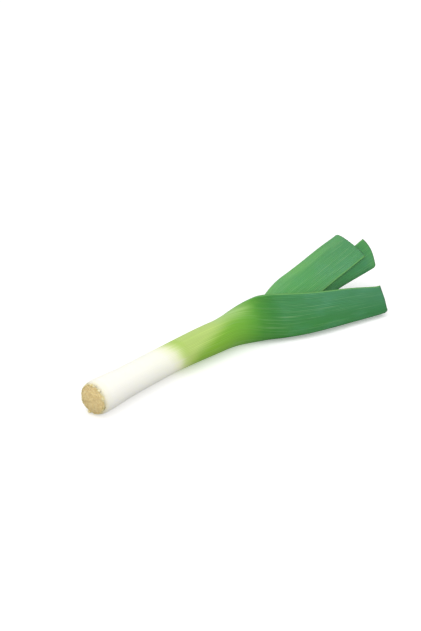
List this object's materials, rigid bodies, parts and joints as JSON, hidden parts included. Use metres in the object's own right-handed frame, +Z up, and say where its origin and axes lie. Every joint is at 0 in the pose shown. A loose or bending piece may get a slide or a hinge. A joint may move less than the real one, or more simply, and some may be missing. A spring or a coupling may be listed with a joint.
{
  "type": "leek",
  "caption": "Trimmed leek lying on its side: white shaft of nested leaf sheaths, root plate with cut root stubs, and folded green blades in two ranks, cut square.",
  "frame": {"origin": "on the flat spot under the neck of the shaft, where the leek rests on a surface", "axes": "+X along the shaft from the root plate to the cut leaf ends, +Y towards the left rank of leaves, +Z up"},
  "size_m": [0.5131, 0.139, 0.0744],
  "materials": {
    "root_plate": "dry, rough, fibrous",
    "shaft_leaf": "waxy satin, white at the root end",
    "green_leaf": "waxy satin",
    "inner_leaf": "waxy satin",
    "heart_leaf": "waxy satin"
  },
  "bodies": {
    "root": {"root_plate": "root_plate", "leaf_1": "shaft_leaf", "leaf_2": "green_leaf", "leaf_3": "green_leaf", "leaf_4": "inner_leaf", "leaf_5": "inner_leaf", "heart": "heart_leaf"}
  },
  "joints": []
}
